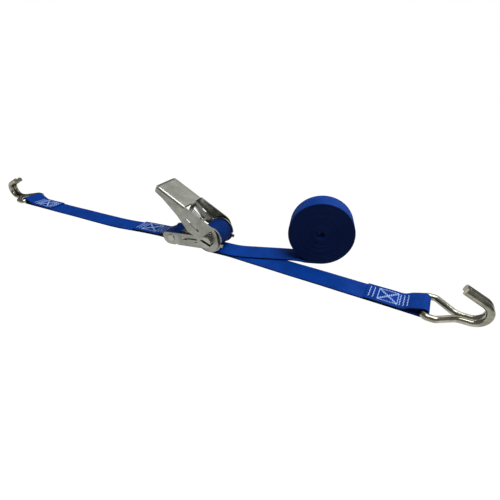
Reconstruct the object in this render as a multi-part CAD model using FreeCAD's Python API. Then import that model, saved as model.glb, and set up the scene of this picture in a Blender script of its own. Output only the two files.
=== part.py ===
"""Ratchet tie down for 25 mm webbing, lying flat with its handle raised.

The frame of the part: +X runs along the ratchet from its anchor end to its spindle end,
+Y runs across the webbing, +Z is up.  The origin is on the surface that the part lies on,
straight below the middle of the spindle.  All lengths are millimetres, all turns degrees.
"""
import FreeCAD, Part
import math
import os

V = FreeCAD.Vector
ORIGIN = V(0, 0, 0)
ACROSS = V(0, 1, 0)
UP = V(0, 0, 1)

# ---------------------------------------------------------------- webbing
webbing_width = 25.0
webbing_thickness = 1.3
soft_gap = 0.3               # left free between webbing and anything that moves past it
wound_radius = 14.5          # outside of the turns on the spindle
roll_radius = 34.1           # outside of the rolled spare webbing
roll_eye_radius = 3.6        # hole in the middle of that roll

# ---------------------------------------------------------------- spindle, wheels and pins
spindle_radius = 6.5
spindle_slot = 2.9           # slot between the two half rounds, where the webbing goes through
spindle_slot_turn = -22.0    # how the slot lies at rest
spindle_end_length = 5.4     # stands out past the handle's arms
running_gap = 0.05           # round a shaft that turns in a hole
wheel_teeth = 12
wheel_tip_radius = 13.0
wheel_root_radius = 10.4
wheel_thickness = 1.4
tooth_land = 7.0             # degrees of a tooth's flat tip
tooth_back = 9.0             # degrees of its sloping back
split_pin_radius = 0.8
split_pin_length = 16.4
split_pin_gap = 0.5          # from the arm to the pin

# ---------------------------------------------------------------- base frame
side_room = 0.3              # from the sewn strap's edge to a frame plate
plate_thickness = 1.4
side_gap = 0.12              # between a plate and a wheel, and a wheel and an arm
plate_left = 63.0            # from the spindle to the anchor end
plate_top = 2.4
plate_bottom = 12.5
plate_top_corner = 4.5
plate_bottom_corner = 9.0
cam_radius = 15.0
stop_notch_turn = -13.6      # where the drive pawl drops in when the handle is right open
stop_notch_width = 2.6
stop_notch_depth = 1.4
stop_lug_turn = -24.0
stop_lug_height = 2.0
stop_lug_width = 3.4
foot_notch_from_spindle = 45.5
foot_notch_width = 4.6
foot_notch_depth = 1.9
web_left = 44.0              # cross web that joins the two plates
web_right = 19.0
web_thickness = 1.5
frame_turn = 5.4             # the frame's lean: its anchor end is on the surface

# ---------------------------------------------------------------- anchor pin
anchor_from_spindle = 52.0
anchor_below_spindle = 4.3
anchor_radius = 3.5
rivet_head_radius = 4.3
rivet_head_height = 0.9
anchor_slack = 1.0           # room for the pin in the strap's end loop

# ---------------------------------------------------------------- lock pawl, in the frame
lock_line = 3.6              # the lock pawl's middle plane, below the spindle
pawl_thickness = 1.8
pawl_side_gap = 0.2
lock_nose = 10.95            # from the spindle, in mesh
lock_body_right = 15.9
lock_body_left = 31.0
lock_ear_left = 29.0
lock_travel = 4.0
lock_slot_left = 37.0
lock_slot_right = 17.0
lock_slot_eye = 2.5          # radius of the wider end of that slot
lock_slot_bay = 1.8          # radius of a second wide place in it
lock_bay_from_spindle = 27.5
lock_tongue_length = 3.0
spring_tab_from_spindle = 41.5
spring_tab_width = 7.0
spring_tab_top = 0.4

# ---------------------------------------------------------------- handle
arm_thickness = 1.4
handle_turn = 29.2           # raised this far at rest
handle_length = 77.5
handle_top = 16.5            # from the spindle to the grip's outer face
handle_tip_low = 9.3
grip_end = 39.8              # the grip plate runs from here to the tip
grip_bend = 2.8
boss_radius = 13.3
# underside of an arm: from the spindle toward the tip, height, radius of the corner
arm_underside = [(11.0, -9.0, 6.0), (14.0, -6.2, 2.5), (24.5, -7.3, 3.0), (43.4, 1.3, 30.0),
                 (66.7, 8.0, 12.0)]
arm_tip_corner = 4.0
lip_reach = 3.0              # the finger lip at the tip stands out past the arms
lip_depth = 7.0
lip_bend = 3.4
lip_relief = 0.8             # between the lip and each arm
lip_corner = 4.0             # of the lip, seen from above the grip
handle_tab_width = 9.0
handle_tab_low = 3.2
handle_tab_bend = 0.8

# ---------------------------------------------------------------- drive pawl, in the handle
drive_line_turn = 8.8        # the drive pawl's plane points at the spindle
drive_drop = 2.2             # how far it drops from rest into mesh
drive_room = 0.3             # it rides this far clear of the teeth and of the cam
drive_recess = 2.2           # its middle is cut back over the wound webbing
drive_recess_half = 8.5      # half width of that cut where it starts
drive_recess_floor = 7.2     # and where it ends
drive_body_high = 22.0
drive_ear_low = 17.0
drive_ear_high = 27.0
drive_window_half = 9.5
drive_window_high = 44.0
drive_grip_high = 50.0
drive_grip_half = 13.0
drive_slot_low = 13.8
drive_slot_high = 33.2
pawl_slot_gap = 0.25         # above and below a pawl's ear in its slot
drive_tongue_length = 4.0

# ---------------------------------------------------------------- springs
spring_radius = 2.5
spring_wire_radius = 0.5
spring_coils = 9
tongue_width = 2.6

# ---------------------------------------------------------------- hooks
hook_wire_radius = 3.0
hook_pair_gap = 0.1          # between the two wires that lie side by side
hook_bar_bend = 3.3
hook_apex = 24.5             # from the bar to where the two legs meet
hook_apex_bend = 12.0
hook_throat_radius = 10.5    # middle of the wire
hook_bowl = 33.4             # from the bar to the middle of the round
hook_lip_turn = 25.0         # the lip opens by this much
hook_lip_length = 16.5
hook_shoulder_bend = 5.0     # where a leg turns in from the loop's side
hook_leg_straight = 2.5      # a leg runs straight for this far past the loop
hook_loop_length = 16.0      # from a bar to where the strap's two layers meet

# ---------------------------------------------------------------- strap runs
main_turn = -5.8
main_bend_radius = 120.0
main_run = 184.9             # from that bend to the hook's bar
main_fold_back = 48.0        # sewn back on itself, from the bar
tail_turn = 18.0
tail_bend_radius = 60.0
tail_run = 78.2              # from that bend to the middle of the roll
wrap_start = -3.0
main_wrap = 35.0             # degrees of the spindle that the main strap's end goes round
tail_wrap = 22.0
straight_exit = 18.0         # webbing runs straight until it is past the plates
fixed_turn = -2.0
fixed_run = 274.8            # from the anchor pin to the hook's bar
anchor_fold_back = 62.0
hook_fold_back = 54.0
# underside of the fixed strap: from the anchor pin, height; it lies flat after the last
anchor_line = [(17.0, 5.0), (64.0, 2.2), (116.0, 0.0)]
ramp_room = 1.5              # the tail stays up until it is this far past the main strap
ramp_end = 2.0               # it lies on the surface for this far before the roll

# ---------------------------------------------------------------- worked out from the sizes above
half_web = webbing_width / 2
fixed_lean = math.tan(math.radians(abs(fixed_turn)))
anchor_loop = anchor_radius + anchor_slack + soft_gap + half_web * fixed_lean
sway_in = (anchor_loop + webbing_thickness) * fixed_lean
sway_out = (plate_left - anchor_from_spindle) * fixed_lean
plate_in = half_web + side_room + (sway_in + sway_out) / 2
fixed_shift = (sway_in - sway_out) / 2
plate_out = plate_in + plate_thickness
wheel_in = plate_out + side_gap
wheel_out = wheel_in + wheel_thickness
arm_in = wheel_out + side_gap
arm_out = arm_in + arm_thickness
spindle_end = arm_out + spindle_end_length
tail_low = webbing_thickness + soft_gap
spindle_height = 2 * (webbing_thickness + soft_gap) + wound_radius
drive_turn = handle_turn + drive_line_turn
drive_nose = wheel_tip_radius + drive_room
drive_body_low = cam_radius + drive_room + drive_drop
drive_tab = (grip_end - handle_tab_bend - arm_thickness) / math.cos(math.radians(drive_line_turn))
drive_spring_end = spring_wire_radius - drive_tab
pawl_slot = pawl_thickness + 2 * pawl_slot_gap
loop_in = hook_wire_radius + soft_gap
loop_out = loop_in + webbing_thickness
hook_bar_height = loop_out


# ================================================================ shape helpers
def ray(turn):
    """Unit vector in the XZ plane, turned up from +X."""
    a = math.radians(turn)
    return V(math.cos(a), 0, math.sin(a))


def rounded_path(points, closed):
    """Edges through points (x, y, z, radius): straight runs joined by tangent arcs."""
    corners = [V(*p[:3]) for p in points]
    radii = [p[3] for p in points]
    count = len(points)
    starts, ends, edges = [], [], []
    for i in range(count):
        if radii[i] == 0 or (not closed and i in (0, count - 1)):
            starts.append(corners[i])
            ends.append(corners[i])
            continue
        to_last = (corners[i - 1] - corners[i]).normalize()
        to_next = (corners[(i + 1) % count] - corners[i]).normalize()
        half = to_last.getAngle(to_next) / 2
        starts.append(corners[i] + to_last * (radii[i] / math.tan(half)))
        ends.append(corners[i] + to_next * (radii[i] / math.tan(half)))
    for i in range(count):
        if (ends[i] - starts[i]).Length > 1e-6:
            to_arc = ((starts[i] + ends[i]) * 0.5 - corners[i]).normalize()
            span = (starts[i] - corners[i]).Length
            centre_far = math.hypot(span, radii[i])
            middle = corners[i] + to_arc * (centre_far - radii[i])
            edges.append(Part.Arc(starts[i], middle, ends[i]).toShape())
        if closed or i < count - 1:
            after = starts[(i + 1) % count]
            if (after - ends[i]).Length > 1e-6:
                edges.append(Part.LineSegment(ends[i], after).toShape())
    return Part.Wire(edges)


def side_plate(points, low_y, high_y):
    """Solid between low_y and high_y with the XZ outline given by points (x, z[, radius])."""
    full = [(p[0], low_y, p[1], p[2] if len(p) > 2 else 0) for p in points]
    return Part.Face(rounded_path(full, True)).extrude(V(0, high_y - low_y, 0))


def flat_plate(points, low_z, high_z):
    """Solid between low_z and high_z with the XY outline given by points (x, y[, radius])."""
    full = [(p[0], p[1], low_z, p[2] if len(p) > 2 else 0) for p in points]
    return Part.Face(rounded_path(full, True)).extrude(V(0, 0, high_z - low_z))


def both_ways(points):
    """Mirrors the half outline (x, y[, radius]) over y = 0 to close it."""
    return points + [(p[0], -p[1]) + tuple(p[2:]) for p in reversed(points)]


def cross_bar(radius, low_y, high_y, x=0.0, z=0.0):
    return Part.makeCylinder(radius, high_y - low_y, V(x, low_y, z), ACROSS)


def block(low_x, high_x, low_y, high_y, low_z, high_z):
    return Part.makeBox(high_x - low_x, high_y - low_y, high_z - low_z, V(low_x, low_y, low_z))


def turned(shape, turn):
    """A copy turned about the spindle's axis; a positive turn lifts the anchor end."""
    copy = shape.copy()
    copy.rotate(ORIGIN, ACROSS, turn)
    return copy


def seated(shape, turn=0.0):
    """Turns a ratchet piece about the spindle, then lifts it to the spindle's height."""
    copy = turned(shape, turn)
    copy.translate(V(0, 0, spindle_height))
    return copy


def joined(shapes):
    """One solid from several that overlap."""
    return shapes[0].fuse(shapes[1:]).removeSplitter()


def coil_spring(low_x, high_x):
    """Coil along X, with its wire inside low_x to high_x."""
    height = high_x - low_x - 2 * spring_wire_radius
    helix = Part.makeHelix(height / spring_coils, height, spring_radius)
    ring = Part.Wire(Part.Circle(V(spring_radius, 0, 0), ACROSS, spring_wire_radius).toShape())
    spring = Part.Wire(helix).makePipeShell([ring], True, True)
    spring.rotate(ORIGIN, UP, 90)
    spring.rotate(ORIGIN, ACROSS, 90)
    spring.translate(V(low_x + spring_wire_radius, 0, 0))
    return spring


# ================================================================ base frame
def frame_plate(low_y, high_y):
    """One side plate: a bar with the anchor end rounded, a round cam and its stop lug."""
    bar = side_plate([(-plate_left, plate_top, plate_top_corner), (0, plate_top),
                      (0, -plate_bottom), (-plate_left, -plate_bottom, plate_bottom_corner)],
                     low_y, high_y)
    cam = cross_bar(cam_radius, low_y, high_y)
    lug_base = cam_radius - stop_lug_height
    lug = block(lug_base, cam_radius + stop_lug_height, low_y, high_y,
                -stop_lug_width / 2, stop_lug_width / 2)
    plate = joined([bar, cam, turned(lug, -stop_lug_turn)])
    stop_notch = block(cam_radius - stop_notch_depth, cam_radius + stop_lug_height, low_y, high_y,
                       -stop_notch_width / 2, stop_notch_width / 2)
    foot_notch = side_plate([(-foot_notch_from_spindle - foot_notch_width / 2, -plate_bottom - 1),
                             (-foot_notch_from_spindle, -plate_bottom + foot_notch_depth, 1.0),
                             (-foot_notch_from_spindle + foot_notch_width / 2, -plate_bottom - 1)],
                            low_y, high_y)
    lock_slot = side_plate([(-lock_slot_left, -lock_line + pawl_slot / 2, 1.0),
                            (-lock_slot_right, -lock_line + pawl_slot / 2, 1.0),
                            (-lock_slot_right, -lock_line - pawl_slot / 2, 1.0),
                            (-lock_slot_left, -lock_line - pawl_slot / 2, 1.0)],
                           low_y, high_y)
    slot_eye = cross_bar(lock_slot_eye, low_y, high_y,
                         -lock_slot_right - lock_slot_eye / 2, -lock_line - 0.5)
    slot_bay = cross_bar(lock_slot_bay, low_y, high_y, -lock_bay_from_spindle,
                         -lock_line + pawl_slot / 2 - lock_slot_bay / 2)
    holes = [turned(stop_notch, -stop_notch_turn), foot_notch, lock_slot, slot_eye, slot_bay,
             cross_bar(spindle_radius + running_gap, low_y, high_y),
             cross_bar(anchor_radius, low_y, high_y, -anchor_from_spindle, -anchor_below_spindle)]
    return plate.cut(holes)


def make_base_frame():
    """Two side plates, the cross web below them and the tab that backs the lock spring."""
    web = block(-web_left, -web_right, -plate_in - 0.5, plate_in + 0.5,
                -plate_bottom, -plate_bottom + web_thickness)
    tab = block(-web_left, -spring_tab_from_spindle, -spring_tab_width / 2, spring_tab_width / 2,
                -plate_bottom, spring_tab_top)
    frame = joined([frame_plate(-plate_out, -plate_in), frame_plate(plate_in, plate_out), web, tab])
    return seated(frame, -frame_turn)


def make_anchor_pin():
    """Pin through both plates, with a low domed head outside each."""
    pin = cross_bar(anchor_radius, -plate_out, plate_out)
    for side in (-1, 1):
        low = plate_out if side > 0 else -plate_out - rivet_head_height
        head = cross_bar(rivet_head_radius, low, low + rivet_head_height)
        rim = [e for e in head.Edges if abs(abs(e.BoundBox.Center.y) - plate_out - rivet_head_height) < 0.01
               and e.BoundBox.YLength < 0.01]
        pin = pin.fuse(head.makeFillet(rivet_head_height * 0.8, rim))
    pin = pin.removeSplitter()
    pin.translate(V(-anchor_from_spindle, 0, -anchor_below_spindle))
    return seated(pin, -frame_turn)


def make_lock_pawl():
    """Plate that slides in the frame's slots and holds both wheels."""
    ear = plate_out + side_gap
    body_half = plate_in - pawl_side_gap
    outline = both_ways([(-lock_body_left, body_half, 1.0), (-lock_ear_left, body_half),
                         (-lock_ear_left, wheel_out, 1.2), (-lock_nose, wheel_out, 0.4),
                         (-lock_nose, ear, 0.4), (-lock_slot_right - 0.5, ear),
                         (-lock_slot_right - 0.5, body_half), (-lock_body_right, body_half, 0.8)])
    half = pawl_thickness / 2
    plate = flat_plate(outline, -half, half)
    tongue = block(-lock_body_left - lock_tongue_length, -lock_body_left + 1,
                   -tongue_width / 2, tongue_width / 2, -half, half)
    pawl = joined([plate, tongue])
    pawl.translate(V(0, 0, -lock_line))
    return seated(pawl, -frame_turn)


def lock_spring_end():
    """X of the lock spring's end at its tab."""
    a = math.radians(frame_turn)
    return lock_line * math.sin(a) - spring_tab_from_spindle * math.cos(a)


def make_lock_pawl_spring():
    spring = coil_spring(-spring_tab_from_spindle, -lock_body_left)
    spring.translate(V(0, 0, -lock_line))
    return seated(spring, -frame_turn)


# ================================================================ spindle
def half_round(radius, gap, low_y, high_y):
    """Round bar split along its length, with gap left between the halves; the upper half."""
    bar = cross_bar(radius, low_y, high_y)
    return bar.common(block(-radius, radius, low_y, high_y, gap / 2, radius))


def split_pin_axis(side):
    """Where the pin crosses the spindle's axis, on the given side."""
    return side * (arm_out + split_pin_gap + split_pin_radius)


def make_spindle_half(upper):
    """Half of the spindle, drilled for the two split pins."""
    half = half_round(spindle_radius, spindle_slot, -spindle_end, spindle_end)
    for side in (-1, 1):
        hole = Part.makeCylinder(split_pin_radius, 2 * spindle_radius,
                                 V(0, split_pin_axis(side), -spindle_radius), UP)
        half = half.cut(hole)
    half = turned(half, 0 if upper else 180)
    return seated(half, -spindle_slot_turn)


def make_ratchet_wheel(side):
    """Toothed plate with two half round holes for the spindle's halves."""
    points = []
    step = 360.0 / wheel_teeth
    first = 180 - drive_turn - math.degrees(math.asin((pawl_thickness / 2 + 0.2) / wheel_root_radius))
    for tooth in range(wheel_teeth):
        steep = first + tooth * step
        for radius, turn in ((wheel_root_radius, steep - tooth_land - tooth_back),
                             (wheel_tip_radius, steep - tooth_land),
                             (wheel_tip_radius, steep), (wheel_root_radius, steep)):
            place = ray(turn) * radius
            points.append((place.x, place.z))
    low = wheel_in if side > 0 else -wheel_out
    wheel = side_plate(points, low, low + wheel_thickness)
    for turn in (0, 180):
        hole = half_round(spindle_radius + running_gap, spindle_slot - 2 * running_gap,
                          low, low + wheel_thickness)
        wheel = wheel.cut(turned(hole, turn - spindle_slot_turn))
    return seated(wheel)


def make_split_pin(side):
    """Split pin through both halves of the spindle, with its eye above and its legs spread."""
    y = split_pin_axis(side)
    low, high = -split_pin_length / 2, split_pin_length / 2
    shank = Part.makeCylinder(split_pin_radius, split_pin_length, V(0, y, low), UP)
    eye = Part.makeTorus(1.5, 0.55, V(0, y, high + 1.2), ACROSS)
    pin = joined([shank, eye])
    return seated(pin, -spindle_slot_turn)


def make_wound_webbing():
    """Turns of webbing on the spindle, and the run through its slot."""
    turns = cross_bar(wound_radius, -half_web, half_web)
    turns = turns.cut(cross_bar(spindle_radius + running_gap, -half_web, half_web))
    reach = spindle_radius + webbing_thickness
    through = block(-reach, reach, -half_web, half_web,
                    -webbing_thickness, webbing_thickness)
    return seated(joined([turns, turned(through, -spindle_slot_turn)]))


# ================================================================ handle
def arm_outline():
    """One arm seen from the side, pointing to -X and level."""
    outline = [(-handle_length, handle_top, arm_tip_corner), (2.0, handle_top, 13.0),
               (boss_radius, 3.0, 9.0), (boss_radius - 1.0, -9.5, 7.0), (0, -boss_radius, 8.0)]
    outline += [(-x, z, radius) for x, z, radius in arm_underside]
    return outline + [(-handle_length, handle_tip_low, 2.0)]


def grip_section():
    """U section of the grip, as a solid from the grip's end to the tip, with rounded bends."""
    def shell(half, top, bend):
        face = Part.Face(rounded_path([(-handle_length, -half, -boss_radius, 0),
                                       (-handle_length, -half, top, bend),
                                       (-handle_length, half, top, bend),
                                       (-handle_length, half, -boss_radius, 0)], True))
        return face.extrude(V(handle_length - grip_end, 0, 0))
    return shell(arm_out, handle_top, grip_bend).cut(
        shell(arm_in, handle_top - arm_thickness, grip_bend - arm_thickness))


def bent_lip(edge_x, leg_low, half_width, bend, away):
    """Lip bent down from the grip plate; away is -1 at the tip, 1 at the spindle's side."""
    top, thick = handle_top, arm_thickness
    inner, outer = bend, bend + thick
    middle_x, middle_z = edge_x - away * outer, top - outer
    leg = block(min(edge_x, edge_x - away * thick), max(edge_x, edge_x - away * thick),
                -half_width, half_width, leg_low, middle_z)
    ring = cross_bar(outer, -half_width, half_width, middle_x, middle_z).cut(
        cross_bar(inner, -half_width, half_width, middle_x, middle_z))
    corner = block(min(edge_x, middle_x), max(edge_x, middle_x), -half_width, half_width,
                   middle_z, top)
    return joined([leg, ring.common(corner)])


def make_handle():
    """One bent sheet: two arms with bosses, the grip between them, a tip flange and a tab."""
    arms = []
    for low in (-arm_out, arm_in):
        arms.append(side_plate(arm_outline(), low, low + arm_thickness))
    whole = side_plate(arm_outline(), -arm_out, arm_out)
    grip = grip_section().common(whole)
    open_part = block(-grip_end, handle_length, -arm_out, arm_out, -handle_length, handle_length)
    bare_arms = [arm.common(open_part) for arm in arms]
    handle = joined(bare_arms + [grip])

    lip_half = arm_in - lip_relief
    lip_end = -handle_length - lip_reach
    lip_start = lip_end + lip_bend + arm_thickness
    tip_clear = block(lip_end, lip_start, -arm_in, arm_in, 0, handle_top + 1)
    handle = handle.cut(tip_clear)
    lip = joined([bent_lip(lip_end, handle_top - lip_depth, lip_half, lip_bend, -1),
                  block(lip_start, -handle_length + arm_tip_corner + 1, -lip_half, lip_half,
                        handle_top - arm_thickness, handle_top)])
    lip = lip.common(flat_plate(both_ways([(lip_end, lip_half, lip_corner),
                                           (-grip_end, lip_half)]), 0, handle_top))
    tab_half = handle_tab_width / 2
    tab_face = -grip_end + handle_tab_bend + arm_thickness
    tab = bent_lip(tab_face, handle_tab_low, tab_half, handle_tab_bend, 1)
    handle = joined([handle, lip, tab])

    cuts = [cross_bar(spindle_radius + running_gap, -arm_out, arm_out)]
    slot = block(-drive_slot_high + pawl_slot / 2, -drive_slot_low - pawl_slot / 2,
                 -arm_out, arm_out, -pawl_slot / 2, pawl_slot / 2)
    cuts.append(turned(slot, drive_line_turn))
    for far in (drive_slot_high, drive_slot_low):
        inward = pawl_slot / 2 if far == drive_slot_high else -pawl_slot / 2
        end = cross_bar(pawl_slot / 2, -arm_out, arm_out, -far + inward)
        cuts.append(turned(end, drive_line_turn))
    return seated(handle.cut(cuts), handle_turn)


def make_drive_pawl():
    """Plate that slides in the arms' slots; pulled toward the grip, it frees the wheels."""
    nose_in = plate_out + side_gap
    body_half = wheel_out
    ear_half = arm_out - 0.2
    outline = both_ways([(-drive_grip_high, drive_grip_half, 3.0),
                         (-drive_ear_high, drive_grip_half, 2.0), (-drive_ear_high, ear_half, 1.5),
                         (-drive_ear_low, ear_half, 1.0), (-drive_ear_low, body_half),
                         (-drive_nose, body_half), (-drive_nose, nose_in),
                         (-drive_body_low, nose_in), (-drive_body_low, drive_recess_half, 0.8),
                         (-drive_body_low - drive_recess, drive_recess_floor, 0.8)])
    half = pawl_thickness / 2
    plate = flat_plate(outline, -half, half)
    window = flat_plate(both_ways([(-drive_window_high, drive_window_half, 1.5),
                                   (-drive_body_high, drive_window_half, 1.5)]), -half, half)
    tongue = block(-drive_body_high - drive_tongue_length, -drive_body_high + 1,
                   -tongue_width / 2, tongue_width / 2, -half, half)
    pawl = joined([plate.cut(window), tongue])
    return seated(pawl, drive_turn)


def make_drive_pawl_spring():
    return seated(coil_spring(drive_spring_end, -drive_body_high), drive_turn)


# ================================================================ hooks
def hook_wire_path():
    """Middle of the wire: lip, round, side by side run, leg and bar, then the same mirrored."""
    beside = hook_wire_radius + hook_pair_gap / 2
    low = hook_wire_radius
    sweep = 90 + 90 - hook_lip_turn
    reach = hook_throat_radius * math.tan(math.radians(sweep / 4))
    middle = V(hook_bowl, 0, low + hook_throat_radius)
    lip_start = middle + ray(90 - hook_lip_turn) * hook_throat_radius
    lip_way = ray(180 - hook_lip_turn)
    lip_tip = lip_start + lip_way * hook_lip_length
    lip_corner = lip_start - lip_way * reach
    corner = half_web + hook_wire_radius + soft_gap
    turn_in = math.atan2(corner - beside, hook_apex - loop_out)
    bend_reach = hook_shoulder_bend * math.tan(turn_in / 2)
    shoulder_x = loop_out + soft_gap + bend_reach + hook_leg_straight
    near = [(lip_tip.x, lip_tip.z, 0, beside), (lip_corner.x, lip_corner.z, hook_throat_radius, beside),
            (hook_bowl + reach, low, hook_throat_radius, beside),
            (hook_apex, low, hook_apex_bend, beside),
            (shoulder_x, hook_bar_height, hook_shoulder_bend, corner),
            (0, hook_bar_height, hook_bar_bend, corner)]
    first = [(x, -y, z, radius) for x, z, radius, y in near]
    second = [(x, y, z, radius) for x, z, radius, y in reversed(near)]
    return rounded_path(first + second, False)


def make_hook():
    """Double J hook bent from one wire, with its bar on the Y axis and its round toward +X."""
    path = hook_wire_path()
    start = path.OrderedVertexes[0].Point
    way = path.OrderedEdges[0].tangentAt(path.OrderedEdges[0].FirstParameter)
    ring = Part.Wire(Part.Circle(start, way, hook_wire_radius).toShape())
    return path.makePipeShell([ring], True, True)


# ================================================================ webbing runs
def loop_and_run(bar_height, inner_radius, fold_back, far_points):
    """Webbing sewn round a bar at x = 0 and running to +X.

    far_points are (x, height of the underside), from where the two layers meet; the
    layers are sewn together as far as fold_back.
    """
    outer_radius = inner_radius + webbing_thickness
    two = 2 * webbing_thickness

    def under(x):
        before, after = far_points[0], far_points[-1]
        for one, other in zip(far_points, far_points[1:]):
            if one[0] <= x <= other[0]:
                before, after = one, other
        return before[1] + (after[1] - before[1]) * (x - before[0]) / (after[0] - before[0])

    def teardrop(radius, meet_x, low, high):
        """Outline round the bar, drawn to a narrow end between low and high."""
        middle = V(0, 0, bar_height)
        ends = []
        for height, side in ((high, 1), (low, -1)):
            to_end = V(meet_x, 0, height) - middle
            turn = math.degrees(math.atan2(to_end.z, to_end.x))
            lean = math.degrees(math.acos(radius / to_end.Length))
            ends.append(middle + ray(turn + side * lean) * radius)
        arc = Part.Arc(ends[0], middle - V(radius, 0, 0), ends[1]).toShape()
        top, bottom = V(meet_x, 0, high), V(meet_x, 0, low)
        edges = [Part.LineSegment(top, ends[0]).toShape(), arc,
                 Part.LineSegment(ends[1], bottom).toShape()]
        if high > low:
            edges.append(Part.LineSegment(bottom, top).toShape())
        face = Part.Face(Part.Wire(edges))
        solid = face.extrude(V(0, webbing_width, 0))
        solid.translate(V(0, -half_web, 0))
        return solid

    meet_x = far_points[0][0]
    meet_low = far_points[0][1]
    outside = teardrop(outer_radius, meet_x, meet_low, meet_low + two)
    inside = teardrop(inner_radius, meet_x - 1.0, meet_low + webbing_thickness,
                      meet_low + webbing_thickness)
    sewn = [p for p in far_points if p[0] < fold_back] + [(fold_back, under(fold_back))]
    run = [(x, z) for x, z in far_points] + [(x, z + webbing_thickness) for x, z in reversed(far_points)]
    pad = [(x, z) for x, z in sewn] + [(x, z + two) for x, z in reversed(sewn)]
    return joined([outside.cut(inside), side_plate(run, -half_web, half_web),
                   side_plate(pad, -half_web, half_web)])


def wrap_piece(low_z, sweep):
    """Webbing that comes down round the wound turns and runs out to straight_exit."""
    inner = spindle_height - low_z - webbing_thickness
    middle = V(wrap_start, 0, spindle_height)
    ring = cross_bar(inner + webbing_thickness, -half_web, half_web, middle.x, middle.z).cut(
        cross_bar(inner, -half_web, half_web, middle.x, middle.z))
    far = 2 * spindle_height
    cut_line = ray(-90 - sweep) * far
    wedge = side_plate([(middle.x, middle.z), (middle.x + cut_line.x, middle.z + cut_line.z),
                        (middle.x, middle.z - far)], -half_web, half_web)
    flat = block(wrap_start, straight_exit, -half_web, half_web, low_z, low_z + webbing_thickness)
    return joined([ring.common(wedge), flat])


def side_bend(low_z, turn, radius):
    """Flat webbing that bends sideways by turn, from straight_exit."""
    side = 1 if turn > 0 else -1
    middle = V(straight_exit, side * radius, 0)
    face = Part.Face(Part.makePolygon([V(straight_exit, -half_web, low_z),
                                       V(straight_exit, half_web, low_z),
                                       V(straight_exit, half_web, low_z + webbing_thickness),
                                       V(straight_exit, -half_web, low_z + webbing_thickness),
                                       V(straight_exit, -half_web, low_z)]))
    return face.revolve(middle, V(0, 0, side), abs(turn))


def bend_end(turn, radius):
    """Where the middle of a sideways bend ends."""
    a = math.radians(abs(turn))
    side = 1 if turn > 0 else -1
    return V(straight_exit + radius * math.sin(a), side * radius * (1 - math.cos(a)), 0)


def laid(shape, turn, start):
    """Turns a run about the vertical and moves it to its start."""
    copy = shape.copy()
    copy.rotate(ORIGIN, UP, turn)
    copy.translate(start)
    return copy


def main_strap_end():
    """Middle of the right hook's bar, on the surface."""
    return bend_end(main_turn, main_bend_radius) + laid_way(main_turn) * main_run


def laid_way(turn):
    a = math.radians(turn)
    return V(math.cos(a), math.sin(a), 0)


def make_main_strap():
    """From under the wound turns to the right hook's bar."""
    run = loop_and_run(hook_bar_height, loop_in, main_fold_back, [(hook_loop_length, 0.0), (main_run, 0.0)])
    run = laid(run, 180 + main_turn, main_strap_end())
    return joined([wrap_piece(0.0, main_wrap), side_bend(0.0, main_turn, main_bend_radius), run])


def make_right_hook():
    return laid(make_hook(), main_turn, main_strap_end())


def roll_centre():
    return bend_end(tail_turn, tail_bend_radius) + laid_way(tail_turn) * tail_run


def tail_clear():
    """How far along its straight run the tail's near edge passes the main strap's far edge."""
    tail_way, main_way = laid_way(tail_turn), laid_way(main_turn)
    tail_edge = bend_end(tail_turn, tail_bend_radius) - UP.cross(tail_way) * half_web
    main_edge = bend_end(main_turn, main_bend_radius) + UP.cross(main_way) * half_web
    between = main_edge - tail_edge
    return between.cross(main_way).z / tail_way.cross(main_way).z


def make_tail_strap():
    """Loose end: over the main strap, then down to the surface and under the roll."""
    roll_edge = math.sqrt(roll_radius ** 2 - (roll_radius - webbing_thickness - soft_gap) ** 2)
    low_end = tail_run - roll_edge
    line = [(0, tail_low), (tail_clear() + ramp_room, tail_low), (low_end - ramp_end, 0.0),
            (low_end, 0.0)]
    run = side_plate(line + [(x, z + webbing_thickness) for x, z in reversed(line)],
                     -half_web, half_web)
    run = laid(run, tail_turn, bend_end(tail_turn, tail_bend_radius))
    return joined([wrap_piece(tail_low, tail_wrap), side_bend(tail_low, tail_turn, tail_bend_radius), run])


def make_webbing_roll():
    """Spare webbing rolled up, standing on the surface."""
    roll = cross_bar(roll_radius, -half_web, half_web, 0, roll_radius)
    roll = roll.cut(cross_bar(roll_eye_radius, -half_web, half_web, 0, roll_radius))
    return laid(roll, tail_turn, roll_centre())


def anchor_place():
    """Middle of the anchor pin."""
    place = V(-anchor_from_spindle, 0, -anchor_below_spindle)
    turn = FreeCAD.Rotation(ACROSS, -frame_turn)
    return turn.multVec(place) + V(0, 0, spindle_height)


def fixed_strap_end():
    """Middle of the left hook's bar, on the surface."""
    return V(anchor_place().x, fixed_shift, 0) + laid_way(180 + fixed_turn) * fixed_run


def make_fixed_strap():
    """From the anchor pin to the left hook's bar, sewn back on itself at both ends."""
    pin = anchor_place()
    near = loop_and_run(pin.z, anchor_loop, anchor_fold_back,
                        anchor_line + [(fixed_run / 2, 0.0)])
    far = loop_and_run(hook_bar_height, loop_in, hook_fold_back,
                       [(hook_loop_length, 0.0), (fixed_run / 2, 0.0)])
    far = laid(far, 180, V(fixed_run, 0, 0))
    return laid(joined([near, far]), 180 + fixed_turn, V(pin.x, fixed_shift, 0))


def make_left_hook():
    return laid(make_hook(), 180 + fixed_turn, fixed_strap_end())


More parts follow.
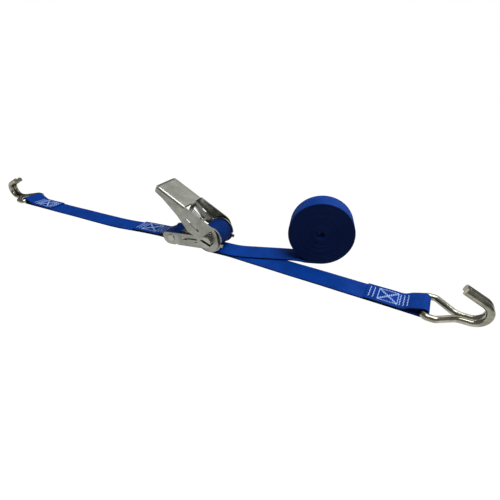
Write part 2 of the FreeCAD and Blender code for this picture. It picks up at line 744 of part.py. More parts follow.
# ================================================================ every piece, each its own file
pieces = {
    "base_frame": make_base_frame(),
    "anchor_pin": make_anchor_pin(),
    "lock_pawl": make_lock_pawl(),
    "lock_pawl_spring": make_lock_pawl_spring(),
    "spindle_half_upper": make_spindle_half(True),
    "spindle_half_lower": make_spindle_half(False),
    "ratchet_wheel_front": make_ratchet_wheel(-1),
    "ratchet_wheel_rear": make_ratchet_wheel(1),
    "split_pin_front": make_split_pin(-1),
    "split_pin_rear": make_split_pin(1),
    "wound_webbing": make_wound_webbing(),
    "handle": make_handle(),
    "drive_pawl": make_drive_pawl(),
    "drive_pawl_spring": make_drive_pawl_spring(),
    "main_strap": make_main_strap(),
    "tail_strap": make_tail_strap(),
    "webbing_roll": make_webbing_roll(),
    "fixed_strap": make_fixed_strap(),
    "left_hook": make_left_hook(),
    "right_hook": make_right_hook(),
}

os.makedirs("parts", exist_ok=True)
for name, shape in pieces.items():
    shape.exportStep(os.path.join("parts", name + ".step"))
    box = shape.BoundBox
    print("%-20s solids %d valid %s volume %9.1f  x %7.1f..%7.1f  y %6.1f..%6.1f  z %6.2f..%6.2f" % (
        name, len(shape.Solids), shape.isValid(), shape.Volume,
        box.XMin, box.XMax, box.YMin, box.YMax, box.ZMin, box.ZMax))
for name, place in (("right hook bar", main_strap_end()), ("left hook bar", fixed_strap_end()),
                    ("roll", roll_centre()), ("anchor pin", anchor_place())):
    print("%s at %.3f %.3f %.3f" % (name, place.x, place.y, place.z))
print("spindle height %.3f" % spindle_height)
print("hook bar height %.3f" % hook_bar_height)
print("drive spring fixed end x %.3f" % (drive_spring_end * math.cos(math.radians(drive_turn))))
print("lock spring fixed end x %.3f" % lock_spring_end())
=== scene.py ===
"""Looks of the ratchet tie down: woven webbing, sewn ends, a rolled spare end and zinc plated steel."""
import bmesh
import bpy
import math
import random
from mathutils import Matrix, Vector


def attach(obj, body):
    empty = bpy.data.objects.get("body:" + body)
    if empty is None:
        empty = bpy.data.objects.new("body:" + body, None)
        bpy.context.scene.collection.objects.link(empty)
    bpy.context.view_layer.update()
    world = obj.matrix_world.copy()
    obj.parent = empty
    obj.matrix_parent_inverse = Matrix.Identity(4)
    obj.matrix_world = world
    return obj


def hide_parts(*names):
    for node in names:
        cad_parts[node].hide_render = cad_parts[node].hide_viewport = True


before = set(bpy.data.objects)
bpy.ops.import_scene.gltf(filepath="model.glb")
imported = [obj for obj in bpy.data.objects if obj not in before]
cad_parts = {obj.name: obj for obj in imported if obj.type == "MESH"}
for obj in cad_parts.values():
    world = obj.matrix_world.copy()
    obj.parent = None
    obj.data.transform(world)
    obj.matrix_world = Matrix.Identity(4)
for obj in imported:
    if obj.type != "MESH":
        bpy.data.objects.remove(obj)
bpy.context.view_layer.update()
MM = 0.001
UP = Vector((0, 0, 1))

# ---------------------------------------------------------------- sizes of the frame, in millimetres
WEB = 25.0                   # width of the webbing
THICK = 1.3
PACK_RADIUS = 14.5           # outside of the turns on the spindle
SPINDLE_HEIGHT = 17.7
SPINDLE_RADIUS = 6.5
SLOT_TURN = -22              # how the slot between the spindle's halves lies, in degrees
ROLL_RADIUS = 34.1
ROLL_EYE = 3.6               # radius of the hole in the roll
BAR_HEIGHT = 4.6             # middle of each hook's bar
HOOK_LOOP = 3.3              # inside radius of the webbing round a hook's bar
PIN_LOOP = 5.24              # and round the anchor pin
PIN = Vector((-51.365, -0.078, 8.525))
MAIN_TURN, MAIN_BEND, MAIN_RUN = -5.8, 120.0, 184.9      # degrees, radius, straight length
TAIL_TURN, TAIL_BEND, TAIL_RUN = 18.0, 60.0, 78.2
FIXED_TURN, FIXED_RUN = 178.0, 274.8
EXIT = 18.0                  # from under the spindle to where the main strap and the tail bend aside


# ================================================================ shader maths
class Wire:
    """A shader socket that adds its own Math nodes when it is used in a sum."""

    def __init__(self, finish, socket):
        self.finish = finish
        self.socket = socket

    def math(self, operation, *others):
        return self.finish.node("ShaderNodeMath", {"operation": operation}, *((self,) + others))

    def __add__(self, other):
        return self.math("ADD", other)

    def __sub__(self, other):
        return self.math("SUBTRACT", other)

    def __mul__(self, other):
        return self.math("MULTIPLY", other)

    def __rsub__(self, other):
        return self.finish.node("ShaderNodeMath", {"operation": "SUBTRACT"}, other, self)

    __radd__ = __add__
    __rmul__ = __mul__

    def wave(self, length):
        """A sine over the given length, from 0 to 1."""
        return (self * (2 * math.pi / length)).math("SINE") * 0.5 + 0.5

    def sawtooth(self, length):
        """Rises and falls between 0 and 1 over the given length."""
        return self.math("PINGPONG", length / 2) * (2 / length)


class Finish:
    """One material with a Principled shader, built up from wires."""

    def __init__(self, name, **plain):
        self.material = bpy.data.materials.new(name)
        self.material.use_nodes = True
        self.tree = self.material.node_tree
        self.tree.nodes.clear()
        self.output = self.tree.nodes.new("ShaderNodeOutputMaterial")
        self.shader = self.tree.nodes.new("ShaderNodeBsdfPrincipled")
        self.tree.links.new(self.shader.outputs[0], self.output.inputs["Surface"])
        for socket, value in plain.items():
            self.shader.inputs[socket.replace("_", " ")].default_value = value

    def node(self, kind, settings, *values, output=0, **named):
        """Adds a node: its settings first, then its sockets by place or by name."""
        made = self.tree.nodes.new(kind)
        for key, value in settings.items():
            if key == "stops":
                self.set_stops(made.color_ramp, value)
            else:
                setattr(made, key, value)
        sockets = list(zip(made.inputs, values))
        sockets += [(made.inputs[key.replace("_", " ")], value) for key, value in named.items()]
        for socket, value in sockets:
            self.feed(socket, value)
        return Wire(self, made.outputs[output])

    @staticmethod
    def set_stops(ramp, stops):
        while len(ramp.elements) < len(stops):
            ramp.elements.new(1.0)
        for element, (place, colour) in zip(ramp.elements, stops):
            element.position = place
            element.color = colour

    def feed(self, socket, value):
        if isinstance(value, Wire):
            self.tree.links.new(value.socket, socket)
        elif value is not None:
            socket.default_value = value

    def place(self, which="Object"):
        """Coordinates in metres, from the piece itself or from its UV map."""
        outputs = {"Object": 3, "UV": 2}
        return self.node("ShaderNodeTexCoord", {}, output=outputs[which])

    def split(self, vector):
        """The three parts of a vector."""
        made = self.node("ShaderNodeSeparateXYZ", {}, vector)
        return [Wire(self, out) for out in made.socket.node.outputs]

    def stretched(self, vector, scale, rotation=(0, 0, 0)):
        return self.node("ShaderNodeMapping", {}, vector, (0, 0, 0), rotation, scale)

    def noise(self, vector, scale, detail=3.0, roughness=0.5):
        return self.node("ShaderNodeTexNoise", {}, Vector=vector, Scale=scale, Detail=detail,
                         Roughness=roughness)

    def ramp(self, value, *stops):
        return self.node("ShaderNodeValToRGB", {"stops": stops}, value)

    def spread(self, value, low, high, to_low, to_high):
        """Maps a range of values to another, and stops at its ends."""
        return self.node("ShaderNodeMapRange", {}, value, low, high, to_low, to_high)

    def mix(self, factor, first, second):
        """Mixes two colours."""
        made = self.tree.nodes.new("ShaderNodeMix")
        made.data_type = "RGBA"
        for socket, value in zip((made.inputs[0], made.inputs[6], made.inputs[7]),
                                 (factor, first, second)):
            self.feed(socket, value)
        return Wire(self, made.outputs[2])

    def bump(self, height, distance, strength=1.0, under=None):
        return self.node("ShaderNodeBump", {}, Strength=strength, Distance=distance,
                         Height=height, Normal=under)

    def wear(self, **wires):
        """Joins wires to the shader's sockets."""
        for socket, wire in wires.items():
            self.feed(self.shader.inputs[socket.replace("_", " ")], wire)
        return self.material


def linear(red, green, blue):
    """A screen colour, 0 to 255, as the shader's own colour."""
    parts = [c / 255 for c in (red, green, blue)]
    return tuple(c / 12.92 if c <= 0.04045 else ((c + 0.055) / 1.055) ** 2.4 for c in parts) + (1.0,)


# ================================================================ finishes
def zinc_plate(name, light, dark, shine, grain_along, inner_side=None):
    """Zinc plated sheet: faint cloudy tint, fine grain from the rolled sheet, a few rubbed marks.

    Inside of inner_side, across the ratchet, painted shade darkens the steel near the spindle.
    """
    finish = Finish(name, Metallic=1.0)
    here = finish.place()
    clouds = finish.noise(here, 90.0, 3.0, 0.6)
    tint = finish.ramp(clouds, (0.32, dark), (0.68, light))
    grain = finish.noise(finish.stretched(here, grain_along), 1.0, 2.0, 0.6)
    rubbed = finish.noise(finish.stretched(here, (900.0, 120.0, 900.0), rotation=(0.0, 0.5, 0.3)),
                          1.0, 1.0, 0.5)
    marks = finish.spread(rubbed, 0.6, 0.82, 0.0, 1.0)
    roughness = finish.spread(clouds, 0.3, 0.7, shine + 0.07, shine - 0.05) + grain * 0.06
    rough = finish.bump(grain, 0.00004, 0.5)
    colour = finish.mix(marks * 0.2, tint, (0.62, 0.62, 0.57, 1.0))
    # painted shade: the inner faces of the arms near the spindle are darkened where shade falls between them
    if inner_side:
        along, across, up = finish.split(here)
        drop = up - SPINDLE_HEIGHT * MM
        reach = (along * along + drop * drop).math("SQRT") + clouds * 0.012
        inside = finish.spread(across.math("ABSOLUTE"), inner_side, inner_side + 0.0003, 1.0, 0.0)
        painted_shade = finish.spread(reach, 0.03, 0.048, 0.66, 0.0) * inside
        colour = finish.mix(painted_shade, colour, (0.055, 0.055, 0.045, 1.0))
    return finish.wear(Base_Color=colour, Roughness=roughness - marks * 0.08,
                       Normal=finish.bump(finish.noise(here, 260.0, 2.0), 0.00006, 0.35, rough))


def bright_wire(name, light, dark, shine):
    """Polished zinc plate on bent wire, with a cloudy tint and small pits."""
    finish = Finish(name, Metallic=1.0)
    here = finish.place()
    clouds = finish.noise(here, 70.0, 4.0, 0.6)
    pits = finish.spread(finish.noise(here, 900.0, 2.0), 0.66, 0.78, 0.0, 1.0)
    tint = finish.ramp(clouds, (0.3, dark), (0.62, light))
    return finish.wear(Base_Color=finish.mix(pits * 0.5, tint, (0.12, 0.1, 0.08, 1.0)),
                       Roughness=finish.spread(clouds, 0.3, 0.7, shine + 0.08, shine) + pits * 0.25,
                       Normal=finish.bump(pits * -1.0 + finish.noise(here, 240.0, 2.0) * 0.5,
                                          0.00005, 0.5))


def woven_webbing(name, bright, deep, side):
    """Polyester webbing: lengthwise ribs crossed by a chevron weave; painted shade in the side colour
    darkens its cut sides and the top's edges.
    """
    finish = Finish(name, Specular_IOR_Level=0.06)
    along, across, _ = finish.split(finish.place("UV"))
    chevron = along + across.sawtooth(6.2 * MM) * (1.5 * MM)
    picks = chevron.wave(1.15 * MM)
    ribs = across.wave(1.55 * MM)
    height = ribs * 0.7 + picks * ribs * 0.6
    soft = finish.noise(finish.place(), 55.0, 3.0, 0.6)
    fuzz = finish.noise(finish.place(), 1900.0, 2.0, 0.7)
    edge = (across - WEB / 2 * MM).math("ABSOLUTE")
    # painted shade along the top's edges, in the side colour
    top_edge_shade = finish.spread(edge, (WEB / 2 - 1.2) * MM, (WEB / 2 - 0.6) * MM, 0.0, 0.35)
    # painted shade on the cut sides, where the thickness turns away from the light
    sides = finish.spread(edge, (WEB / 2 - 0.35) * MM, (WEB / 2 - 0.1) * MM, 0.0, 0.95)
    shade = height * 0.45 + soft * 0.5 + fuzz * 0.12
    cloth = finish.ramp(shade, (0.22, deep), (0.85, bright))
    return finish.wear(Base_Color=finish.mix(top_edge_shade.math("MAXIMUM", sides), cloth, side),
                       Roughness=finish.spread(soft, 0.3, 0.7, 0.7, 0.58) + picks * 0.08,
                       Normal=finish.bump(height + fuzz * 0.25, 0.00022, 0.7))


def sewing_thread(name, light, dark):
    """Twisted thread."""
    finish = Finish(name, Roughness=0.55, Sheen_Weight=0.3)
    along, across, _ = finish.split(finish.place("UV"))
    twist = (along + across * 0.3).wave(0.9 * MM)
    soft = finish.noise(finish.place(), 500.0, 2.0)
    return finish.wear(Base_Color=finish.ramp(twist * 0.6 + soft * 0.4, (0.2, dark), (0.75, light)),
                       Normal=finish.bump(twist, 0.00012, 0.6))


SHEET_ZINC = ((0.315, 0.32, 0.285, 1), (0.235, 0.24, 0.21, 1), 0.33, (2500, 180, 2500))
zinc = zinc_plate("zinc_plate", *SHEET_ZINC)
# the handle's copy carries painted shade on the inner faces of its arms
zinc_handle = zinc_plate("zinc_plate_handle", *SHEET_ZINC, inner_side=0.0166)
zinc_pawl = zinc_plate("zinc_plate_pawls", (0.34, 0.345, 0.31, 1), (0.24, 0.24, 0.21, 1), 0.4,
                       (250, 2500, 250))
# the wheels' zinc is a darker copy of the sheet's: painted shade, for wheels that sit in shade between the
# plates and arms
zinc_wheel_shaded = zinc_plate("zinc_plate_wheels_shaded", (0.2, 0.2, 0.18, 1), (0.1, 0.1, 0.09, 1), 0.42,
                        (900, 900, 900))
zinc_bar = zinc_plate("zinc_plate_spindle", (0.4, 0.4, 0.36, 1), (0.28, 0.28, 0.25, 1), 0.3,
                      (900, 900, 900))
hook_zinc = bright_wire("bright_zinc_hooks", (0.42, 0.41, 0.335, 1), (0.13, 0.122, 0.08, 1), 0.17)
spring_wire = bright_wire("spring_wire", (0.2, 0.18, 0.15, 1), (0.09, 0.08, 0.07, 1), 0.25)
# the last colour of each webbing is painted shade on its sides; on the roll it is the painted shade between
# the turns of its face
blue = woven_webbing("blue_webbing", linear(0, 60, 150), linear(0, 30, 92), linear(2, 6, 24))
blue_rolled = woven_webbing("blue_webbing_rolled", linear(0, 62, 152), linear(0, 32, 96),
                            linear(13, 27, 64))
# the wound turns are a darker copy of the webbing: painted shade, for turns that sit in shade between the
# plates
blue_wound_shaded = woven_webbing("blue_webbing_wound_shaded", linear(0, 44, 116), linear(0, 20, 62),
                           linear(2, 6, 24))
thread = sewing_thread("pale_thread", linear(176, 198, 238), linear(104, 138, 205))

STEEL_FINISH = {
    "base_frame": zinc, "handle": zinc_handle, "anchor_pin": zinc_bar, "drive_pawl": zinc_pawl,
    "lock_pawl": zinc_pawl, "ratchet_wheel_front": zinc_wheel_shaded, "ratchet_wheel_rear": zinc_wheel_shaded,
    "spindle_half_upper": zinc_bar, "spindle_half_lower": zinc_bar,
    "split_pin_front": spring_wire, "split_pin_rear": spring_wire,
    "drive_pawl_spring": spring_wire, "lock_pawl_spring": spring_wire,
    "left_hook": hook_zinc, "right_hook": hook_zinc,
}
for node, finish in STEEL_FINISH.items():
    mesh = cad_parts[node].data
    mesh.materials.clear()
    mesh.materials.append(finish)


# ================================================================ webbing
def heading(turn):
    return Vector((math.cos(math.radians(turn)), math.sin(math.radians(turn)), 0))


def laid_out(turn, bend, start=Vector((0, 0, 0)), straight=0.0):
    """How a strap lies seen from above: straight, then a sideways bend, then straight again.

    Returns a function from the distance along the strap to its place and the way across it.
    """
    side = 1 if turn > 0 else -1
    bend_length = bend * math.radians(abs(turn))

    def at(distance):
        if not bend or distance <= straight:
            way = heading(0 if bend else turn)
            return start + way * distance, UP.cross(way)
        angle = min(distance - straight, bend_length) / bend
        way = heading(math.degrees(angle) * side)
        place = start + Vector((straight + bend * math.sin(angle), side * bend * (1 - math.cos(angle)), 0))
        return place + way * max(0.0, distance - straight - bend_length), UP.cross(way)

    return at


def smooth_line(points, step):
    """A smooth run through the points, sampled about every step (Catmull-Rom)."""
    ends = [points[0] * 2 - points[1]] + list(points) + [points[-1] * 2 - points[-2]]
    line = []
    for before, here, after, beyond in zip(ends, ends[1:], ends[2:], ends[3:]):
        count = max(1, round((after - here).length / step))
        for i in range(count):
            t = i / count
            line.append(0.5 * ((2 * here) + (after - before) * t
                               + (2 * before - 5 * here + 4 * after - beyond) * t * t
                               + (3 * here - before - 3 * after + beyond) * t ** 3))
    line.append(points[-1])
    return line


def deselect():
    bpy.ops.object.select_all(action="DESELECT")


def apply_modifiers(piece):
    deselect()
    piece.select_set(True)
    bpy.context.view_layer.objects.active = piece
    for modifier in list(piece.modifiers):
        bpy.ops.object.modifier_apply(modifier=modifier.name)
    deselect()


def strip(name, line, finish, thick=THICK, columns=8, sway=0.0, seed=1):
    """Webbing along a line of (place, way across), as a closed mesh with a map in metres.

    sway wanders its edges a little, and tips them up and down by turns.
    """
    wander = random.Random(seed)
    phases = [wander.uniform(0, 6.28) for _ in range(4)]
    grid, maps, run = [], [], 0.0
    for i, (place, across) in enumerate(line):
        if i:
            run += (place - line[i - 1][0]).length
        ahead = line[min(i + 1, len(line) - 1)][0] - line[max(i - 1, 0)][0]
        out = ahead.cross(across).normalized()
        drift = sway * (math.sin(run / 23 + phases[0]) + 0.6 * math.sin(run / 9.5 + phases[1])) / 1.6
        for j in range(columns + 1):
            t = 2 * j / columns - 1
            rise = sway * 0.5 * t * math.sin(run / 31 + phases[2])
            grid.append((place + across * (t * WEB / 2 + drift) - out * rise) * MM)
            maps.append((run * MM, (t + 1) * WEB / 2 * MM))
    rows = len(line)
    faces = [(i * (columns + 1) + j, i * (columns + 1) + j + 1,
              (i + 1) * (columns + 1) + j + 1, (i + 1) * (columns + 1) + j)
             for i in range(rows - 1) for j in range(columns)]
    mesh = bpy.data.meshes.new(name)
    mesh.from_pydata(grid, [], faces)
    layer = mesh.uv_layers.new(name="webbing")
    for loop in mesh.loops:
        layer.data[loop.index].uv = maps[loop.vertex_index]
    mesh.materials.append(finish)
    piece = bpy.data.objects.new(name, mesh)
    bpy.context.scene.collection.objects.link(piece)
    wall = piece.modifiers.new("wall", "SOLIDIFY")
    wall.thickness, wall.offset = thick * MM, 0.0
    edge = piece.modifiers.new("edge", "BEVEL")
    edge.width, edge.segments, edge.angle_limit = thick * 0.3 * MM, 2, math.radians(70)
    apply_modifiers(piece)
    for face in piece.data.polygons:
        face.use_smooth = True
    return piece


def across_spindle(points):
    """A strip's line from points round the spindle's middle, in the upright plane of the ratchet."""
    return [(Vector((p.x, 0, p.z + SPINDLE_HEIGHT)), Vector((0, 1, 0))) for p in points]


def polar(radius, turn):
    """A point at that radius and turn, in the upright plane."""
    a = math.radians(turn)
    return Vector((radius * math.cos(a), 0, radius * math.sin(a)))


def profile_on(plan, points, step=1.4):
    """A side profile (distance along, height) laid along a plan."""
    line = []
    for p in smooth_line([Vector((d, 0, h)) for d, h in points], step):
        place, across = plan(p.x)
        line.append((Vector((place.x, place.y, p.z)), across))
    return line


def round_bar(height, radius, start, end):
    """Profile points round a bar, from one polar angle to another, every 36 degrees or so."""
    count = max(2, round(abs(end - start) / 36))
    turns = [math.radians(start + (end - start) * i / count) for i in range(count + 1)]
    return [(radius * math.cos(a), height + radius * math.sin(a)) for a in turns]


half = THICK / 2


def hook_end(fold, sewn):
    """Profile from the fold's cut end, over the hook's bar and back underneath; the bar is at 0."""
    down_to_seam = [(sewn, half + THICK + 0.1), (9.5, 5.4)]
    return ([(fold, half + THICK), (sewn + 10, half + THICK)] + down_to_seam
            + round_bar(BAR_HEIGHT, HOOK_LOOP + half, 62, 270) + [(8, half), (sewn + 4, half)])


def under_spindle(layers, turns):
    """Profile points round the underside of the wound turns, that many millimetres further out."""
    return [(-3 + (PACK_RADIUS + layers) * math.cos(math.radians(a)),
             SPINDLE_HEIGHT + (PACK_RADIUS + layers) * math.sin(math.radians(a))) for a in turns]


# from the pin's sewn fold, round the pin, along the surface and round the left hook's bar
fixed_plan = laid_out(FIXED_TURN, 0, Vector((PIN.x, PIN.y, 0)))
pin_side = [(61.5, 3.6 + THICK), (48, 4.4 + THICK), (30, 5.3 + THICK), (19, 6.0 + THICK), (11, 11.0)]
pin_side += [(-x, z) for x, z in round_bar(PIN.z, PIN_LOOP + half, 112, -70)]
pin_side += [(8, 4.4), (16, 5.6), (30, 5.2), (48, 4.2), (62, 3.3), (84, 1.7), (104, half + 0.1), (122, half)]
LEFT_FOLD, LEFT_SEAM = 54, 17            # the fold's length, and where it closes, from the hook's bar
far_side = [(FIXED_RUN - x, z) for x, z in reversed(hook_end(LEFT_FOLD, LEFT_SEAM))]
fixed_line = profile_on(fixed_plan, pin_side + [(170, half)] + far_side)
fixed = strip("fixed_webbing", fixed_line, blue, sway=0.25, seed=3)

# from under the wound turns, along the surface and round the right hook's bar
main_plan = laid_out(MAIN_TURN, MAIN_BEND, straight=EXIT)
main_end = EXIT + MAIN_BEND * math.radians(-MAIN_TURN) + MAIN_RUN
RIGHT_FOLD, RIGHT_SEAM = 48, 16
main_side = under_spindle(2.55, (235, 247, 259, 270)) + [(8, half), (20, half), (60, half), (110, half)]
main_side += [(main_end - x, z) for x, z in reversed(hook_end(RIGHT_FOLD, RIGHT_SEAM))]
main_line = profile_on(main_plan, main_side)
main = strip("main_webbing", main_line, blue, sway=0.2, seed=8)

# the loose end, over the main strap and down to the surface under the roll
tail_plan = laid_out(TAIL_TURN, TAIL_BEND, straight=EXIT)
tail_end = EXIT + TAIL_BEND * math.radians(TAIL_TURN) + TAIL_RUN
tail_side = under_spindle(0.95, (248, 259, 270)) + [(8, 2.25), (24, 2.25), (50, 2.3), (tail_end - 26, 2.2)]
tail_side += [(tail_end - 14, half + 0.2), (tail_end - 8, half), (tail_end, half)]
tail_line = profile_on(tail_plan, tail_side)
tail = strip("tail_webbing", tail_line, blue, sway=0.1, seed=5)

# the spare webbing: one long turn after another, from the surface inward, each a little to one side
ROLL_STEPS = 56                          # in each turn
roll_place, roll_across = tail_plan(tail_end)
roll_across = Matrix.Rotation(math.radians(-6), 3, "Z") @ roll_across
roll_way = roll_across.cross(UP)
roll_line, wobble = [], random.Random(11)
shifts = [wobble.uniform(-0.28, 0.28) for _ in range(40)]
turns = (ROLL_RADIUS - half - ROLL_EYE - half) / THICK
for i in range(int(turns * ROLL_STEPS) + 1):
    turned = i / ROLL_STEPS
    radius = ROLL_RADIUS - half - THICK * turned
    a = 2 * math.pi * turned - math.pi / 2
    level, part = int(turned), turned % 1
    shift = shifts[level] + (shifts[level + 1] - shifts[level]) * part
    place = roll_place + roll_way * (radius * math.cos(a)) + UP * (ROLL_RADIUS + radius * math.sin(a))
    roll_line.append((place + roll_across * shift, roll_across))
roll = strip("rolled_webbing", roll_line, blue_rolled, columns=4, thick=1.2)

# the wound turns, and the two layers that go through the spindle's slot
WOUND_STEPS = 48                         # in each turn
INNER_TURN = 7.25                        # radius where the turns begin, just outside the spindle
wound_turns = (PACK_RADIUS - half - INNER_TURN) / THICK
wound_line = across_spindle([
    polar(PACK_RADIUS - half - THICK * turned, 235 - 360 * turned)
    for turned in (i / WOUND_STEPS for i in range(int(wound_turns * WOUND_STEPS) + 1))])
wound = strip("wound_webbing_turns", wound_line, blue_wound_shaded, columns=4, thick=1.22)
slot_end = SPINDLE_RADIUS + 0.4
slot_line = across_spindle([polar(x, SLOT_TURN) for x in (-slot_end, -4, 0, 4, slot_end)])
through = strip("slot_webbing", slot_line, blue_wound_shaded, thick=2.3, columns=4)

for piece, body, node in ((fixed, "frame", "fixed_strap"), (main, "frame", "main_strap"),
                          (tail, "frame", "tail_strap"), (roll, "frame", "webbing_roll"),
                          (wound, "spindle", "wound_webbing")):
    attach(piece, body)
    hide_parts(node)
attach(through, "spindle")


def length_of(line):
    return sum((b[0] - a[0]).length for a, b in zip(line, line[1:])) * MM


length_of(fixed_line)
length_of(main_line)
length_of(tail_line)
length_of(roll_line)
length_of(wound_line)
length_of(slot_line)


# ================================================================ stitching
STITCH_LENGTH = 2.3
STITCH_ARCH = ((0.04, -0.18), (0.25, 0.14), (0.5, 0.22), (0.75, 0.14), (0.96, -0.18))   # share along, rise


def sewn_line(points, lift, plan, radius):
    """Thread along points (distance, offset): one small raised stitch after another."""
    made = []
    for (d0, o0), (d1, o1) in zip(points, points[1:]):
        count = max(1, round(math.hypot(d1 - d0, o1 - o0) / STITCH_LENGTH))
        for k in range(count):
            stitch = []
            for t, rise in STITCH_ARCH:
                s = (k + t) / count
                d, o = d0 + (d1 - d0) * s, o0 + (o1 - o0) * s
                place, across = plan(d)
                stitch.append(Vector((place.x, place.y, 0)) + across * o + UP * (lift(d) + rise))
            made.append((stitch, radius))
    return made


def tube_mesh(name, stitches, sides=6):
    """All the stitches as one mesh of short closed tubes, with a map along each."""
    made = bmesh.new()
    layer = made.loops.layers.uv.new("thread")
    for stitch, radius in stitches:
        rings = []
        for i, place in enumerate(stitch):
            ahead = (stitch[min(i + 1, len(stitch) - 1)] - stitch[max(i - 1, 0)]).normalized()
            side = ahead.cross(UP).normalized()
            over = side.cross(ahead)
            size = radius * (0.55 if i in (0, len(stitch) - 1) else 1.0)
            rings.append([made.verts.new((place + (side * math.cos(a) + over * math.sin(a)) * size) * MM)
                          for a in (2 * math.pi * k / sides for k in range(sides))])
        for i, (ring, after) in enumerate(zip(rings, rings[1:])):
            for k in range(sides):
                n = (k + 1) % sides
                face = made.faces.new((ring[k], ring[n], after[n], after[k]))
                for loop_corner, uv in zip(face.loops, ((i, k), (i, k + 1), (i + 1, k + 1), (i + 1, k))):
                    loop_corner[layer].uv = (uv[0] * 0.55 * MM, uv[1] * 0.3 * MM)
        made.faces.new(list(reversed(rings[0])))
        made.faces.new(rings[-1])
    bmesh.ops.recalc_face_normals(made, faces=made.faces)
    mesh = bpy.data.meshes.new(name)
    made.to_mesh(mesh)
    made.free()
    for face in mesh.polygons:
        face.use_smooth = True
    mesh.materials.append(thread)
    piece = bpy.data.objects.new(name, mesh)
    bpy.context.scene.collection.objects.link(piece)
    return piece


def wavy(start, half_width, wave):
    """A line of zigzag stitches across the strap."""
    return [(start + (wave if k % 2 else -wave), -half_width + half_width * k / 4) for k in range(9)]


def sewn_box(plan, lift, box, rows, radius=0.38):
    """A crossed box from box[0] to box[1], with zigzag rows across the strap at each of rows."""
    first, last = box
    side = 8.4                           # from the strap's middle to the box's side
    lines = [wavy(start, side, 0.5) for start in rows]
    lines += [[(first, offset), (last, offset)] for offset in (-side, side)]
    lines += [[(end, -side), (end, side)] for end in box]
    for gap in (-0.75, 0.75):
        lines += [[(first, -side + gap), (last, side + gap)], [(first, side + gap), (last, -side + gap)]]
    return [stitch for line in lines for stitch in sewn_line(line, lift, plan, radius)]


def top_of(points, end=0.0):
    """Height of a fold's upper side at a distance along the strap, from the fold's profile points.

    The points count back from end.
    """
    line = smooth_line([Vector((abs(end - d), 0, h)) for d, h in points], 1.0)

    def height(distance):
        for one, other in zip(line, line[1:]):
            low, high = sorted((one.x, other.x))
            if low <= distance <= high and high > low:
                return one.z + (other.z - one.z) * (distance - one.x) / (other.x - one.x) + half
        return line[0].z + half

    return height


seams = {
    "right_hook_stitching": sewn_box(main_plan, top_of(hook_end(RIGHT_FOLD, RIGHT_SEAM)[:5], main_end),
                                     (main_end - 37.0, main_end - 20.5),
                                     [main_end - d for d in (44.6, 41.0, 18.6, 15.6, 12.6)],
                                     radius=0.44),
    "left_hook_stitching": sewn_box(fixed_plan, top_of(hook_end(LEFT_FOLD, LEFT_SEAM)[:5], FIXED_RUN),
                                    (FIXED_RUN - 44.0, FIXED_RUN - 25.5),
                                    [FIXED_RUN - d for d in (51.0, 47.5, 22.5, 19.0, 15.5)]),
    "anchor_stitching": sewn_box(fixed_plan, top_of(pin_side[:6]), (28.5, 50.0),
                                 [59.0, 54.5, 25.0, 21.5, 18.0]),
}
for name, stitches in seams.items():
    seam = tube_mesh(name, stitches)
    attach(seam, "frame")


# ================================================================ floor, light and camera
def stage_material(name, colour, shown):
    """A plain surface that shows as the background's white but still takes a faint shadow."""
    finish = Finish(name, Roughness=0.9, Base_Color=colour, Specular_IOR_Level=0.1)
    ends = finish.node("ShaderNodeLightPath", {}).socket.node.outputs
    seen = Wire(finish, ends["Is Camera Ray"]) + Wire(finish, ends["Is Glossy Ray"]) \
        + Wire(finish, ends["Is Transmission Ray"])
    glow = finish.node("ShaderNodeEmission", {}, (1.0, 1.0, 1.0, 1.0), 1.07)
    both = finish.node("ShaderNodeMixShader", {}, seen.math("MINIMUM", 1.0) * shown)
    finish.tree.links.new(finish.shader.outputs[0], both.socket.node.inputs[1])
    finish.tree.links.new(glow.socket, both.socket.node.inputs[2])
    finish.tree.links.new(both.socket, finish.output.inputs["Surface"])
    return finish.material


deselect()
bpy.ops.mesh.primitive_plane_add(size=6.0, location=(0, 0, 0))
floor = bpy.context.object
floor.name = "floor"
floor.data.materials.append(stage_material("white_floor", (0.4, 0.4, 0.4, 1.0), 0.94))

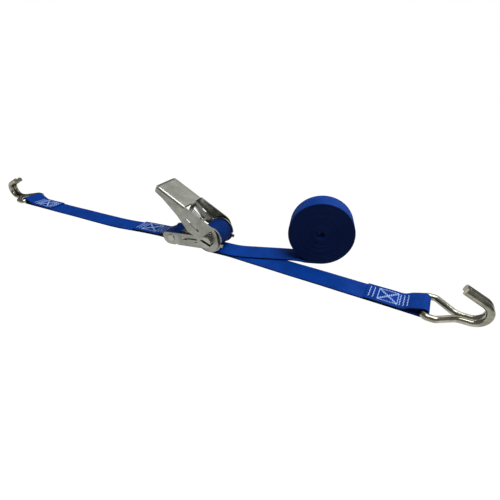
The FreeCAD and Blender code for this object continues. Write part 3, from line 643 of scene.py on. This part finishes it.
# the world lights the object evenly, and the camera sees it white
world = bpy.data.worlds.new("studio")
bpy.context.scene.world = world
world.use_nodes = True
tree = world.node_tree
tree.nodes.clear()
sky = tree.nodes.new("ShaderNodeBackground")
sky.inputs[0].default_value = (1, 1, 1, 1)
sky.inputs[1].default_value = 0.22
white = tree.nodes.new("ShaderNodeBackground")
white.inputs[0].default_value = (1, 1, 1, 1)
paths = tree.nodes.new("ShaderNodeLightPath")
choose = tree.nodes.new("ShaderNodeMixShader")
end = tree.nodes.new("ShaderNodeOutputWorld")
tree.links.new(paths.outputs["Is Camera Ray"], choose.inputs[0])
tree.links.new(sky.outputs[0], choose.inputs[1])
tree.links.new(white.outputs[0], choose.inputs[2])
tree.links.new(choose.outputs[0], end.inputs[0])


def soft_lamp(name, place, target, size, power):
    lamp = bpy.data.lights.new(name, "AREA")
    lamp.shape, lamp.size, lamp.energy = "SQUARE", size, power
    holder = bpy.data.objects.new(name, lamp)
    holder.location = place
    holder.rotation_euler = (Vector(target) - Vector(place)).to_track_quat("-Z", "Y").to_euler()
    bpy.context.scene.collection.objects.link(holder)


soft_lamp("overhead", (0.55, -0.05, 1.7), (0, 0, 0), 1.3, 41.0)
soft_lamp("behind", (0.35, 1.35, 0.85), (0, 0, 0), 1.4, 6.0)

EYE_PLACE = (0.1587, -0.2694, 0.17445)
EYE_TURN = 23.37                         # degrees to the left of looking along +Y
EYE_PITCH, EYE_TILT = math.radians(29.66), math.radians(0.9)
camera = bpy.data.cameras.new("camera")
camera.sensor_width = 36.0
camera.lens = 36.0 * 308.3 / 500
camera.clip_start = 0.01
eye = bpy.data.objects.new("camera", camera)
ahead = heading(90 + EYE_TURN) * math.cos(EYE_PITCH) - UP * math.sin(EYE_PITCH)
level = heading(EYE_TURN)
right = level * math.cos(EYE_TILT) + level.cross(ahead) * math.sin(EYE_TILT)
eye.matrix_world = Matrix.Translation(EYE_PLACE) @ Matrix(
    (right, right.cross(ahead), -ahead)).transposed().to_4x4()
bpy.context.scene.collection.objects.link(eye)
bpy.context.scene.camera = eye

bpy.context.scene.view_settings.view_transform = "Standard"
